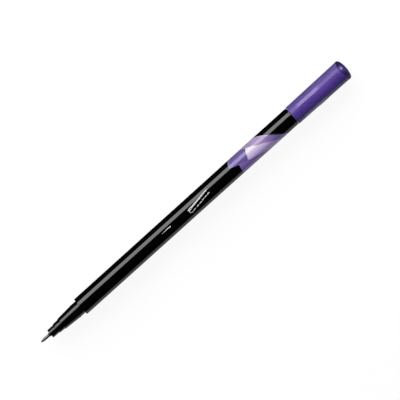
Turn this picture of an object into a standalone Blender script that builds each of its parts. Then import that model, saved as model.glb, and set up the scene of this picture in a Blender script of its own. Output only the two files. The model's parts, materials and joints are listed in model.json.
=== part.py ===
"""Fine fibre-tip marking pen with its cap posted on the tail.

The pen lies along X: nib towards -X, posted cap towards +X. The origin is on
the surface the pen lies on, under its axis, half way along its length. The
pen is rolled so that its pocket clip rests on that surface beside the cap.

Stations along the pen (the S_ names) are distances from the nib's tip.
"""

from math import cos, pi, radians, sin

import bmesh
import bpy
from mathutils import Matrix, Vector

MM = 0.001
SEG = 32  # facets round every turned piece, the same phase for all of them

# ---- overall ---------------------------------------------------------------
LENGTH = 164.1 * MM  # tip of the nib to the end of the posted cap
AXIS_Z = 4.5 * MM  # height of the pen's axis: the cap's bead rests on z = 0
X_TIP = -LENGTH / 2.0
GAP = 0.1 * MM  # between faces that butt
FIT = 0.04 * MM  # between turned faces that slide or press together

# ---- writing end -----------------------------------------------------------
R_NIB = 0.40 * MM
S_NIB_END = 36.2 * MM
R_SHEATH = 0.61 * MM
S_SHEATH_FRONT = 0.9 * MM
S_SHEATH_END = 10.0 * MM
S_HOLDER_FRONT = 4.0 * MM
R_COLLAR = 0.86 * MM
S_NOSE_1 = 4.85 * MM
R_NOSE_1 = 1.94 * MM
S_NOSE_2 = 7.7 * MM  # where the slope up to the second cylinder starts
R_NOSE_2 = 2.24 * MM
S_CONE = 10.5 * MM
R_CONE_FRONT = 2.59 * MM
S_SEAT = 18.3 * MM
R_SEAT_BEAD = 3.10 * MM
R_SEAT = 3.04 * MM

# ---- barrel ----------------------------------------------------------------
S_BARREL_FRONT = 21.1 * MM
S_BARREL_END = 134.3 * MM
R_BARREL_FRONT = 3.93 * MM
R_BARREL_END = 4.05 * MM
R_BORE_END = 3.12 * MM  # at each end, for the plugs
R_BORE = 2.98 * MM
S_HOLDER_END = 29.9 * MM
S_PLUG_FRONT = 128.2 * MM

# ---- ink reservoir ---------------------------------------------------------
S_RESERVOIR_FRONT = 30.4 * MM
S_RESERVOIR_END = 126.8 * MM
R_CORE = 2.75 * MM
R_WRAP_OUT = 2.88 * MM

# ---- tail plug -------------------------------------------------------------
S_FLANGE_END = 135.05 * MM
S_SPIGOT_END = 149.8 * MM
R_SPIGOT = 3.10 * MM

# ---- cap -------------------------------------------------------------------
S_CAP_RIM = 135.2 * MM
S_SHELL_END = 161.5 * MM
R_CAP_RIM = 4.22 * MM
R_CAP_END = 4.44 * MM
R_CAP_MOUTH = 3.17 * MM  # grips the spigot, and the nose's seat when closed
R_CAP_BORE = 3.32 * MM
CAP_MOUTH_LENGTH = 3.4 * MM
S_LINER_FRONT = 150.1 * MM
S_LINER_END = 158.4 * MM
R_LINER_SEAL = 2.00 * MM
R_LINER_WELL = 1.70 * MM
S_CROWN_PLUG = 158.6 * MM
S_CROWN_RIM = 161.7 * MM
R_CROWN_BEAD = 4.50 * MM

# ---- pocket clip -----------------------------------------------------------
CLIP_TILT = radians(32.8)  # below the horizontal, on the -Y side
H_CLIP = 6.10 * MM  # flat outer face, from the pen's axis
H_ARM_UNDER = 5.05 * MM
H_NUB = 4.62 * MM
S_CLIP_TIP = 145.3 * MM
S_CLIP_ROOT = 157.4 * MM
S_LUG_FRONT = 157.7 * MM
W_ARM = 2.40 * MM
W_PAD = 2.90 * MM
ROUND = 0.30 * MM


def station(s):
    """X of a distance s behind the nib's tip."""
    return X_TIP + s


# ---- scene and materials ---------------------------------------------------
for old in list(bpy.data.objects):
    bpy.data.objects.remove(old, do_unlink=True)

parts = bpy.data.collections.new("fibre_tip_pen")
cutters = bpy.data.collections.new("cutters")
bpy.context.scene.collection.children.link(parts)
bpy.context.scene.collection.children.link(cutters)


def material(name, colour, roughness, metallic=0.0, alpha=1.0):
    mat = bpy.data.materials.new(name)
    mat.use_nodes = True
    bsdf = mat.node_tree.nodes["Principled BSDF"]
    bsdf.inputs["Base Color"].default_value = (*colour, 1.0)
    bsdf.inputs["Roughness"].default_value = roughness
    bsdf.inputs["Metallic"].default_value = metallic
    bsdf.inputs["Alpha"].default_value = alpha
    mat.diffuse_color = (*colour, alpha)
    return mat


BLACK_GLOSS = (0.004, 0.004, 0.005)
PURPLE = (0.085, 0.045, 0.26)


def empty(name, location, rotation=(0.0, 0.0, 0.0), parent=None):
    obj = bpy.data.objects.new(name, None)
    obj.empty_display_size = 0.004
    obj.parent = parent
    obj.location = location
    obj.rotation_euler = rotation
    parts.objects.link(obj)
    return obj


# ---- modelling helpers -----------------------------------------------------
def evaluated_mesh(obj):
    bpy.context.view_layer.update()
    depsgraph = bpy.context.evaluated_depsgraph_get()
    return bpy.data.meshes.new_from_object(obj.evaluated_get(depsgraph))


def turned(name, profile, ring=False, collection=parts, parent=None):
    """A piece turned on the pen's axis.

    profile holds (station, radius) pairs: down the outer side from the cap
    end to the nib end, and for a ring back up its bore.
    """
    bm = bmesh.new()
    verts = [bm.verts.new((r, 0.0, station(s))) for s, r in profile]
    for a, b in zip(verts, verts[1:]):
        bm.edges.new((a, b))
    if ring:
        bm.edges.new((verts[-1], verts[0]))
    mesh = bpy.data.meshes.new(name)
    bm.to_mesh(mesh)
    bm.free()
    obj = bpy.data.objects.new(name, mesh)
    collection.objects.link(obj)
    obj.parent = parent
    obj.rotation_euler = (0.0, pi / 2.0, 0.0)
    screw = obj.modifiers.new("turn", "SCREW")
    screw.axis = "Z"
    screw.angle = 2.0 * pi
    screw.steps = SEG
    screw.render_steps = SEG
    screw.use_merge_vertices = True
    screw.merge_threshold = 0.00001
    screw.use_smooth_shade = True
    return obj


def prism(name, points, thickness, collection=cutters):
    """A flat outline, extruded to both sides of its plane, as a closed mesh."""
    curve = bpy.data.curves.new(name, "CURVE")
    curve.dimensions = "2D"
    curve.fill_mode = "BOTH"
    curve.extrude = thickness / 2.0
    spline = curve.splines.new("POLY")
    spline.points.add(len(points) - 1)
    for point, (x, y) in zip(spline.points, points):
        point.co = (x, y, 0.0, 1.0)
    spline.use_cyclic_u = True
    source = bpy.data.objects.new(name, curve)
    collection.objects.link(source)
    mesh = evaluated_mesh(source)
    bm = bmesh.new()
    bm.from_mesh(mesh)
    bmesh.ops.remove_doubles(bm, verts=bm.verts, dist=0.000001)
    bmesh.ops.recalc_face_normals(bm, faces=bm.faces)
    bm.to_mesh(mesh)
    bm.free()
    bpy.data.objects.remove(source, do_unlink=True)
    obj = bpy.data.objects.new(name, mesh)
    collection.objects.link(obj)
    return obj


def as_cutter(obj):
    obj.hide_render = True
    obj.display_type = "WIRE"
    return obj


def combine(obj, other, operation):
    mod = obj.modifiers.new(operation.lower(), "BOOLEAN")
    mod.operation = operation
    mod.object = other
    mod.solver = "EXACT"
    return mod


def soften(obj, width, segments=2, angle=30.0):
    mod = obj.modifiers.new("soften", "BEVEL")
    mod.width = width
    mod.segments = segments
    mod.limit_method = "ANGLE"
    mod.angle_limit = radians(angle)
    mod.harden_normals = False
    return mod


def finish(obj, mat, sharp=35.0):
    """Fix the modelled shape as a mesh, smooth it and give it its material."""
    mesh = evaluated_mesh(obj)
    obj.modifiers.clear()
    obj.data = mesh
    mesh.name = obj.name
    mesh.materials.clear()
    mesh.materials.append(mat)
    mesh.shade_smooth()
    mesh.set_sharp_from_angle(angle=radians(sharp))
    return obj


def arc(cx, cy, r, a0, a1, n):
    """n + 1 points round a centre, from angle a0 to a1 in degrees."""
    step = (a1 - a0) / n
    return [
        (cx + r * cos(radians(a0 + step * i)), cy + r * sin(radians(a0 + step * i)))
        for i in range(n + 1)
    ]


pen_axis = empty("pen_axis", (0.0, 0.0, AXIS_Z))

# ---- fibre nib: one rod from the point back into the ink reservoir ---------
turned(
    "fibre_nib",
    [
        (S_NIB_END, 0.0),
        (S_NIB_END, 0.22 * MM),
        (S_NIB_END - 0.6 * MM, R_NIB),
        (0.42 * MM, R_NIB),
        (0.17 * MM, 0.33 * MM),
        (0.04 * MM, 0.18 * MM),
        (0.0, 0.0),
    ],
    parent=pen_axis,
)
finish(bpy.data.objects["fibre_nib"], material("fibre_nib", (0.03, 0.025, 0.035), 0.85))

# ---- metal sheath round the nib, swaged in at its front --------------------
turned(
    "nib_sheath",
    [
        (S_SHEATH_END, R_NIB + 0.06 * MM),
        (S_SHEATH_END, R_SHEATH - 0.03 * MM),
        (S_SHEATH_END - 0.1 * MM, R_SHEATH),
        (1.55 * MM, R_SHEATH),
        (1.05 * MM, 0.53 * MM),
        (S_SHEATH_FRONT, 0.49 * MM),
        (S_SHEATH_FRONT, R_NIB + FIT),
        (1.55 * MM, R_NIB + FIT),
    ],
    ring=True,
    parent=pen_axis,
)
finish(bpy.data.objects["nib_sheath"], material("nib_sheath", (0.62, 0.62, 0.64), 0.22, 1.0))

# ---- nib holder: stepped nose, cap seat, and the plug inside the barrel ----
turned(
    "nib_holder",
    [
        (S_HOLDER_END, 2.35 * MM),
        (S_HOLDER_END, R_BORE_END - 0.2 * MM),
        (S_HOLDER_END - 0.25 * MM, R_BORE_END - 0.06 * MM),
        (S_BARREL_FRONT, R_BORE_END - 0.06 * MM),
        (S_BARREL_FRONT - 0.3 * MM, R_SEAT),
        (S_SEAT + 0.55 * MM, R_SEAT),
        (S_SEAT + 0.3 * MM, R_SEAT_BEAD),
        (S_SEAT, R_SEAT_BEAD),
        (S_SEAT - 0.25 * MM, R_SEAT_BEAD - 0.05 * MM),
        (S_CONE + 0.6 * MM, R_CONE_FRONT),
        (S_CONE, R_NOSE_2 + 0.06 * MM),
        (S_NOSE_2 + 0.75 * MM, R_NOSE_2),
        (S_NOSE_2, R_NOSE_1),
        (S_NOSE_1 + 0.16 * MM, R_NOSE_1),
        (S_NOSE_1 + 0.05 * MM, R_NOSE_1 - 0.05 * MM),
        (S_NOSE_1, R_NOSE_1 - 0.16 * MM),
        (S_NOSE_1, R_COLLAR),
        (S_HOLDER_FRONT, R_COLLAR - 0.17 * MM),
        (S_HOLDER_FRONT, R_SHEATH + FIT),
        (S_SHEATH_END + 0.1 * MM, R_SHEATH + FIT),
        (S_SHEATH_END + 0.1 * MM, R_NIB + 0.05 * MM),
        (24.0 * MM, R_NIB + 0.05 * MM),
        (25.0 * MM, 2.20 * MM),
    ],
    ring=True,
    parent=pen_axis,
)
finish(bpy.data.objects["nib_holder"], material("nib_holder", BLACK_GLOSS, 0.32))

# ---- barrel: a long tube, a little wider at the tail -----------------------
turned(
    "barrel",
    [
        (S_BARREL_END, R_BORE_END),
        (S_BARREL_END, R_BARREL_END - 0.1 * MM),
        (S_BARREL_END - 0.1 * MM, R_BARREL_END),
        (S_BARREL_FRONT + 0.2 * MM, R_BARREL_FRONT),
        (S_BARREL_FRONT + 0.06 * MM, R_BARREL_FRONT - 0.06 * MM),
        (S_BARREL_FRONT, R_BARREL_FRONT - 0.2 * MM),
        (S_BARREL_FRONT, R_BORE_END),
        (S_HOLDER_END + GAP, R_BORE_END),
        (S_HOLDER_END + GAP, R_BORE),
        (S_PLUG_FRONT - GAP, R_BORE),
        (S_PLUG_FRONT - GAP, R_BORE_END),
    ],
    ring=True,
    parent=pen_axis,
)
finish(bpy.data.objects["barrel"], material("barrel", BLACK_GLOSS, 0.16))

# ---- ink reservoir: a fibre rod in a film sleeve ---------------------------
turned(
    "reservoir_core",
    [
        (S_RESERVOIR_END, 0.0),
        (S_RESERVOIR_END, R_CORE - 0.15 * MM),
        (S_RESERVOIR_END - 0.15 * MM, R_CORE),
        (S_RESERVOIR_FRONT + 0.15 * MM, R_CORE),
        (S_RESERVOIR_FRONT, R_CORE - 0.15 * MM),
        (S_RESERVOIR_FRONT, R_NIB + 0.06 * MM),
        (S_NIB_END + 0.6 * MM, R_NIB + 0.06 * MM),
        (S_NIB_END + 0.6 * MM, 0.0),
    ],
    parent=pen_axis,
)
finish(bpy.data.objects["reservoir_core"], material("reservoir_core", (0.12, 0.06, 0.30), 0.95))

turned(
    "reservoir_wrap",
    [
        (S_RESERVOIR_END, R_CORE + FIT),
        (S_RESERVOIR_END, R_WRAP_OUT),
        (S_RESERVOIR_FRONT, R_WRAP_OUT),
        (S_RESERVOIR_FRONT, R_CORE + FIT),
    ],
    ring=True,
    parent=pen_axis,
)
finish(bpy.data.objects["reservoir_wrap"], material("reservoir_wrap", (0.80, 0.80, 0.82), 0.3))

# ---- tail plug: cup pressed into the barrel, flange, and posting spigot ----
turned(
    "tail_plug",
    [
        (S_SPIGOT_END, 0.0),
        (S_SPIGOT_END, R_SPIGOT - 0.6 * MM),
        (S_SPIGOT_END - 0.18 * MM, R_SPIGOT - 0.18 * MM),
        (S_SPIGOT_END - 0.6 * MM, R_SPIGOT),
        (S_FLANGE_END, R_SPIGOT),
        (S_FLANGE_END, R_BARREL_END - 0.08 * MM),
        (S_FLANGE_END - 0.08 * MM, R_BARREL_END),
        (S_BARREL_END + GAP + 0.08 * MM, R_BARREL_END),
        (S_BARREL_END + GAP, R_BARREL_END - 0.08 * MM),
        (S_BARREL_END + GAP, R_BORE_END - 0.06 * MM),
        (S_PLUG_FRONT + 0.4 * MM, R_BORE_END - 0.06 * MM),
        (S_PLUG_FRONT, R_BORE_END - 0.3 * MM),
        (S_PLUG_FRONT, 2.25 * MM),
        (S_SPIGOT_END - 1.6 * MM, 2.10 * MM),
        (S_SPIGOT_END - 1.2 * MM, 1.60 * MM),
        (S_SPIGOT_END - 1.2 * MM, 0.0),
    ],
    parent=pen_axis,
)
finish(bpy.data.objects["tail_plug"], material("tail_plug", BLACK_GLOSS, 0.3))

# ---- cap: everything below moves with it -----------------------------------
cap = empty("cap", (0.0, 0.0, 0.0), parent=pen_axis)

turned(
    "cap_shell",
    [
        (S_SHELL_END, R_CAP_BORE),
        (S_SHELL_END, R_CAP_END - 0.1 * MM),
        (S_SHELL_END - 0.1 * MM, R_CAP_END),
        (S_CAP_RIM + 0.22 * MM, R_CAP_RIM),
        (S_CAP_RIM + 0.06 * MM, R_CAP_RIM - 0.07 * MM),
        (S_CAP_RIM, R_CAP_RIM - 0.24 * MM),
        (S_CAP_RIM, R_CAP_MOUTH + 0.3 * MM),
        (S_CAP_RIM + 0.3 * MM, R_CAP_MOUTH),
        (S_CAP_RIM + CAP_MOUTH_LENGTH, R_CAP_MOUTH),
        (S_CAP_RIM + CAP_MOUTH_LENGTH + 0.3 * MM, R_CAP_BORE),
    ],
    ring=True,
    parent=cap,
)
finish(bpy.data.objects["cap_shell"], material("cap_shell", PURPLE, 0.2, alpha=0.9))

# Inner cap: a well that seals on the nose's front cylinder when the pen is
# closed. Three grooves down its outside let air past it.
liner = turned(
    "cap_liner",
    [
        (S_LINER_END, 0.0),
        (S_LINER_END, R_CAP_BORE - 0.36 * MM),
        (S_LINER_END - 0.3 * MM, R_CAP_BORE - 0.06 * MM),
        (S_LINER_FRONT + 0.2 * MM, R_CAP_BORE - 0.06 * MM),
        (S_LINER_FRONT, R_CAP_BORE - 0.26 * MM),
        (S_LINER_FRONT, R_LINER_SEAL + 0.35 * MM),
        (S_LINER_FRONT + 0.45 * MM, R_LINER_SEAL),
        (S_LINER_FRONT + 2.5 * MM, R_LINER_SEAL),
        (S_LINER_FRONT + 2.9 * MM, R_LINER_WELL),
        (S_LINER_END - 1.0 * MM, R_LINER_WELL),
        (S_LINER_END - 0.8 * MM, 1.4 * MM),
        (S_LINER_END - 0.8 * MM, 0.0),
    ],
    parent=cap,
)


def round_bars(name, count, radius_at, radius, s0, s1, phase=0.0):
    """Bars parallel to the pen's axis, spaced evenly round it, as a cutter."""
    bm = bmesh.new()
    for i in range(count):
        a = phase + 2.0 * pi * i / count
        made = bmesh.ops.create_cone(
            bm,
            cap_ends=True,
            segments=12,
            radius1=radius,
            radius2=radius,
            depth=s1 - s0,
        )
        bmesh.ops.translate(
            bm,
            verts=made["verts"],
            vec=(radius_at * cos(a), radius_at * sin(a), station((s0 + s1) / 2.0)),
        )
    mesh = bpy.data.meshes.new(name)
    bm.to_mesh(mesh)
    bm.free()
    obj = bpy.data.objects.new(name, mesh)
    cutters.objects.link(obj)
    obj.parent = cap
    obj.rotation_euler = (0.0, pi / 2.0, 0.0)
    return as_cutter(obj)


combine(
    liner,
    round_bars(
        "liner_grooves",
        3,
        R_CAP_BORE + 0.25 * MM,
        0.7 * MM,
        S_LINER_FRONT - 1.0 * MM,
        S_LINER_END + 1.0 * MM,
        phase=radians(20.0),
    ),
    "DIFFERENCE",
)
finish(liner, material("cap_liner", (0.75, 0.73, 0.80), 0.4, alpha=0.8))

# Crown: closes the cap's end, carries the lug that the clip grows from, and
# is pierced by three vent holes.
crown = turned(
    "cap_crown",
    [
        (LENGTH, 0.0),
        (LENGTH - 0.05 * MM, 1.2 * MM),
        (LENGTH - 0.17 * MM, 2.0 * MM),
        (LENGTH - 0.34 * MM, 2.8 * MM),
        (LENGTH - 0.62 * MM, 3.55 * MM),
        (LENGTH - 0.95 * MM, 4.10 * MM),
        (LENGTH - 1.35 * MM, 4.40 * MM),
        (LENGTH - 1.85 * MM, R_CROWN_BEAD),
        (S_CROWN_RIM + 0.15 * MM, R_CROWN_BEAD - 0.02 * MM),
        (S_CROWN_RIM, R_CROWN_BEAD - 0.17 * MM),
        (S_CROWN_RIM, R_CAP_BORE - 0.06 * MM),
        (S_CROWN_PLUG + 0.3 * MM, R_CAP_BORE - 0.06 * MM),
        (S_CROWN_PLUG, R_CAP_BORE - 0.3 * MM),
        (S_CROWN_PLUG, 2.45 * MM),
        (S_CROWN_RIM + 0.75 * MM, 2.45 * MM),
        (S_CROWN_RIM + 1.0 * MM, 2.20 * MM),
        (S_CROWN_RIM + 1.0 * MM, 0.0),
    ],
    parent=cap,
)
combine(
    crown,
    round_bars(
        "crown_vents",
        3,
        1.45 * MM,
        0.45 * MM,
        S_CROWN_RIM - 0.5 * MM,
        LENGTH + 1.0 * MM,
        phase=radians(20.0),
    ),
    "DIFFERENCE",
)

# The clip's frame: its X runs along the pen and its Z points straight out
# from the pen's axis through the clip.
clip_turn = Matrix.Rotation(pi / 2.0 + CLIP_TILT, 4, "X")
clip_place = Matrix.Translation((0.0, 0.0, AXIS_Z)) @ clip_turn
side_plane = Matrix.Rotation(pi / 2.0, 4, "X")  # outline's y becomes radial


def clip_solid(name, side, plan, collection=cutters):
    """Where a side outline and a plan outline, both extruded, meet."""
    body = prism(name, side, 8.0 * MM, collection)
    body.matrix_world = clip_place @ side_plane
    above = as_cutter(prism(name + "_plan", plan, 30.0 * MM))
    above.matrix_world = clip_place
    combine(body, above, "INTERSECT")
    soften(body, ROUND)
    return body


# lug: an L that grows out of the crown's rim and reaches forward over the
# shell without touching it
S_LUG_TOP = LENGTH - 3.1 * MM  # where its outer face starts to round down
lug = clip_solid(
    "clip_lug",
    [
        (station(S_LUG_FRONT), H_CLIP),
        (station(S_LUG_FRONT), H_ARM_UNDER),
        (station(S_CROWN_RIM - 0.5 * MM), 4.78 * MM),
        (station(S_CROWN_RIM + 0.35 * MM), 4.60 * MM),
        (station(S_CROWN_RIM + 0.35 * MM), 3.0 * MM),
        (station(LENGTH - 1.35 * MM), 3.0 * MM),
    ]
    + arc(station(S_LUG_TOP), H_CLIP - 1.8 * MM, 1.8 * MM, 0.0, 90.0, 5),
    [
        (station(S_LUG_FRONT - 1.0 * MM), -W_ARM / 2.0),
        (station(S_CROWN_RIM), -W_ARM / 2.0),
        (station(LENGTH), -W_ARM / 2.0 - 0.25 * MM),
        (station(LENGTH), W_ARM / 2.0 + 0.25 * MM),
        (station(S_CROWN_RIM), W_ARM / 2.0),
        (station(S_LUG_FRONT - 1.0 * MM), W_ARM / 2.0),
    ],
)
as_cutter(lug)
combine(crown, lug, "UNION")
finish(crown, material("cap_crown", (0.05, 0.025, 0.17), 0.22, alpha=0.9))

# ---- pocket clip: flexes about its root, next to the crown's lug -----------
H_ROOT = (H_CLIP + H_ARM_UNDER) / 2.0
S_HINGE = (S_CLIP_ROOT + S_LUG_FRONT) / 2.0
clip_root = empty(
    "clip_root",
    clip_turn.to_3x3() @ Vector((station(S_HINGE), 0.0, H_ROOT)),
    (pi / 2.0 + CLIP_TILT, 0.0, 0.0),
    parent=cap,
)

clip_side = [
    (station(S_CLIP_ROOT), H_CLIP),
    (station(S_CLIP_TIP + 1.2 * MM), H_CLIP),
    (station(S_CLIP_TIP + 0.45 * MM), H_CLIP - 0.22 * MM),
    (station(S_CLIP_TIP), H_CLIP - 0.75 * MM),
    (station(S_CLIP_TIP + 0.5 * MM), H_ARM_UNDER - 0.08 * MM),
    (station(S_CLIP_TIP + 1.5 * MM), H_NUB + 0.06 * MM),
    (station(S_CLIP_TIP + 2.2 * MM), H_NUB),
    (station(S_CLIP_TIP + 3.0 * MM), H_NUB + 0.04 * MM),
    (station(S_CLIP_TIP + 4.4 * MM), H_ARM_UNDER - 0.06 * MM),
    (station(S_CLIP_TIP + 5.6 * MM), H_ARM_UNDER),
    (station(S_CLIP_ROOT), H_ARM_UNDER),
]
half_plan = [
    (station(S_CLIP_ROOT), W_ARM / 2.0),
    (station(S_CLIP_TIP + 7.0 * MM), W_ARM / 2.0),
    (station(S_CLIP_TIP + 5.2 * MM), W_PAD / 2.0),
    (station(S_CLIP_TIP + 1.1 * MM), W_PAD / 2.0),
] + arc(station(S_CLIP_TIP + 1.1 * MM), W_PAD / 2.0 - 1.1 * MM, 1.1 * MM, 112.5, 180.0, 3)
clip = clip_solid(
    "cap_clip",
    clip_side,
    half_plan + [(x, -y) for x, y in reversed(half_plan)],
    collection=parts,
)
finish(clip, material("cap_clip", PURPLE, 0.2, alpha=0.9))

# hang the finished clip on its root, so that its origin is on the flexing axis
bpy.context.view_layer.update()
to_root = clip_root.matrix_world.inverted() @ clip.matrix_world
clip.data.transform(to_root)
clip.parent = clip_root
clip.matrix_parent_inverse = Matrix.Identity(4)
clip.matrix_basis = Matrix.Identity(4)
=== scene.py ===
"""Looks for the fibre-tip pen: fine turned shapes, printed barrel, translucent cap, studio light.

Stations are millimetres behind the nib's tip, along +X. Angles round the pen
are in degrees from the side that faces the camera, positive towards -Y.
"""

import json
from math import acos, asin, atan2, ceil, cos, degrees, hypot, pi, radians, sin, tan

import bmesh
import bpy
from mathutils import Matrix, Vector


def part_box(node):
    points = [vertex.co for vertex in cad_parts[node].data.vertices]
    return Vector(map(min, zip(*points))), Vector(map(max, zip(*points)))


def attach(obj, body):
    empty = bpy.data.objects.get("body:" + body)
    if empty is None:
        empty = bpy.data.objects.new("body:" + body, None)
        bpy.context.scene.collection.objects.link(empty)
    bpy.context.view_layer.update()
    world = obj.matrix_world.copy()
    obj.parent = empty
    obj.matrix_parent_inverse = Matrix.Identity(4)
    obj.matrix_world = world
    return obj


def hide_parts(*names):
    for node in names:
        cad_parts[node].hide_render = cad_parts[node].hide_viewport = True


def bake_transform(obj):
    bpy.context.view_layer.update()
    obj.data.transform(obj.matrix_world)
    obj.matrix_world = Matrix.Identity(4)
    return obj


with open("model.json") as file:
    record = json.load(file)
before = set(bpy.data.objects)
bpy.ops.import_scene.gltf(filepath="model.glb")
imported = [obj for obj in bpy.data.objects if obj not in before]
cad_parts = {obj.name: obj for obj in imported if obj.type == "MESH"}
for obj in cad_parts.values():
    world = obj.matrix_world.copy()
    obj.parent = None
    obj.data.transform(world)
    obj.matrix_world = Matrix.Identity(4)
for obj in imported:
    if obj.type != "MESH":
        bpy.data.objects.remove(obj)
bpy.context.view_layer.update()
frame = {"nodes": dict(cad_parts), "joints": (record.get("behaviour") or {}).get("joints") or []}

MM = 0.001
X_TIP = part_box("fibre_nib")[0].x
AXIS_Z = (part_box("barrel")[0].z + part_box("barrel")[1].z) / 2.0
SEGS = 144
CAMERA_ROLL = radians(23.6)  # the camera leans this far from straight overhead, towards +Y


def X(s):
    return X_TIP + s * MM


scene = bpy.context.scene
scene.view_settings.view_transform = "Standard"
scene.view_settings.look = "None"

pieces = bpy.data.collections.new("pen_pieces")
stage = bpy.data.collections.new("studio")
scene.collection.children.link(pieces)
scene.collection.children.link(stage)


# =============================================================== node helpers
class Nodes:
    """A small wrapper, so that the materials below read as short recipes."""

    def __init__(self, name):
        self.mat = bpy.data.materials.new(name)
        self.mat.use_nodes = True
        self.tree = self.mat.node_tree
        self.bsdf = self.tree.nodes["Principled BSDF"]
        self.coords = self.tree.nodes.new("ShaderNodeTexCoord").outputs["Object"]

    def new(self, kind, **props):
        node = self.tree.nodes.new(kind)
        for key, value in props.items():
            setattr(node, key, value)
        return node

    def link(self, a, b):
        self.tree.links.new(a, b)

    def feed(self, socket, value):
        if hasattr(value, "is_output"):
            self.link(value, socket)
        elif isinstance(value, (tuple, list)) and len(value) == 3 and socket.type == "RGBA":
            socket.default_value = (*value, 1.0)
        else:
            socket.default_value = value

    def set(self, **values):
        names = {
            "color": "Base Color",
            "rough": "Roughness",
            "metal": "Metallic",
            "ior": "IOR",
            "spec": "Specular IOR Level",
            "coat": "Coat Weight",
            "coat_rough": "Coat Roughness",
            "coat_ior": "Coat IOR",
            "sss": "Subsurface Weight",
            "sss_scale": "Subsurface Scale",
            "sss_radius": "Subsurface Radius",
            "transmission": "Transmission Weight",
            "normal": "Normal",
            "aniso": "Anisotropic",
            "sheen": "Sheen Weight",
            "sheen_rough": "Sheen Roughness",
            "sheen_tint": "Sheen Tint",
        }
        for key, value in values.items():
            self.feed(self.bsdf.inputs[names[key]], value)
        return self

    def stretched(self, sx=1.0, sy=1.0, sz=1.0, shift=(0.0, 0.0, 0.0)):
        m = self.new("ShaderNodeMapping")
        m.inputs["Scale"].default_value = (sx, sy, sz)
        m.inputs["Location"].default_value = shift
        self.link(self.coords, m.inputs["Vector"])
        return m.outputs["Vector"]

    def noise(self, scale, detail=2.0, rough=0.5, vector=None, distortion=0.0):
        n = self.new("ShaderNodeTexNoise")
        n.inputs["Scale"].default_value = scale
        n.inputs["Detail"].default_value = detail
        n.inputs["Roughness"].default_value = rough
        n.inputs["Distortion"].default_value = distortion
        self.link(vector or self.coords, n.inputs["Vector"])
        return n.outputs["Fac"]

    def ramp(self, value, stops, interpolation="LINEAR"):
        n = self.new("ShaderNodeValToRGB")
        n.color_ramp.interpolation = interpolation
        while len(n.color_ramp.elements) < len(stops):
            n.color_ramp.elements.new(0.5)
        for e, (pos, colour) in zip(n.color_ramp.elements, stops):
            e.position = pos
            e.color = (*colour, 1.0) if isinstance(colour, (tuple, list)) else (colour,) * 3 + (1.0,)
        self.link(value, n.inputs["Fac"])
        return n.outputs["Color"]

    def remap(self, value, a, b, c, d, clamp=True, smooth=False):
        n = self.new("ShaderNodeMapRange", clamp=clamp)
        if smooth:
            n.interpolation_type = "SMOOTHSTEP"
        for name, x in zip(("From Min", "From Max", "To Min", "To Max"), (a, b, c, d)):
            n.inputs[name].default_value = x
        self.link(value, n.inputs["Value"])
        return n.outputs["Result"]

    def math(self, operation, a, b=None, c=None):
        n = self.new("ShaderNodeMath", operation=operation)
        for socket, value in zip(n.inputs, (a, b, c)):
            if value is not None:
                self.feed(socket, value)
        return n.outputs["Value"]

    def mix(self, factor, a, b, blend="MIX"):
        n = self.new("ShaderNodeMix", data_type="RGBA", blend_type=blend)
        self.feed(n.inputs["Factor"], factor)
        self.feed(n.inputs["A"], a)
        self.feed(n.inputs["B"], b)
        return n.outputs["Result"]

    def bump(self, height, distance, strength=1.0, normal=None):
        n = self.new("ShaderNodeBump")
        n.inputs["Strength"].default_value = strength
        n.inputs["Distance"].default_value = distance
        self.link(height, n.inputs["Height"])
        if normal is not None:
            self.link(normal, n.inputs["Normal"])
        return n.outputs["Normal"]

    def along(self):
        """Station along the pen, in mm from the nib's tip."""
        sep = self.new("ShaderNodeSeparateXYZ")
        self.link(self.coords, sep.inputs[0])
        return self.math("MULTIPLY_ADD", sep.outputs["X"], 1000.0, -1000.0 * X_TIP)

    def across(self):
        """Distance in mm from the plane through the axis and the camera, positive towards -Y."""
        sep = self.new("ShaderNodeSeparateXYZ")
        self.link(self.coords, sep.inputs[0])
        up = self.math("MULTIPLY_ADD", sep.outputs["Z"], 1000.0, -1000.0 * AXIS_Z)
        return self.math(
            "MULTIPLY_ADD",
            sep.outputs["Y"],
            -1000.0 * cos(CAMERA_ROLL),
            self.math("MULTIPLY", up, sin(CAMERA_ROLL)),
        )


    def distance(self, point):
        """Distance in mm from a point of the pen."""
        n = self.new("ShaderNodeVectorMath", operation="DISTANCE")
        self.link(self.coords, n.inputs[0])
        n.inputs[1].default_value = point
        return self.math("MULTIPLY", n.outputs["Value"], 1000.0)

    def over(self, value, stops):
        """Colour (or grey) by value: stops are (value, colour)."""
        low, high = stops[0][0], stops[-1][0]
        return self.ramp(
            self.remap(value, low, high, 0.0, 1.0),
            [((x - low) / (high - low), colour) for x, colour in stops],
        )


# ============================================================ geometry helpers
def ring_point(r, angle):
    """A point r mm off the pen's axis, at an angle from the camera's side."""
    a = radians(angle)
    toward = Vector((0.0, sin(CAMERA_ROLL), cos(CAMERA_ROLL)))
    across = Vector((0.0, -cos(CAMERA_ROLL), sin(CAMERA_ROLL)))
    p = (toward * cos(a) + across * sin(a)) * r * MM
    return Vector((0.0, p.y, p.z + AXIS_Z))


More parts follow.
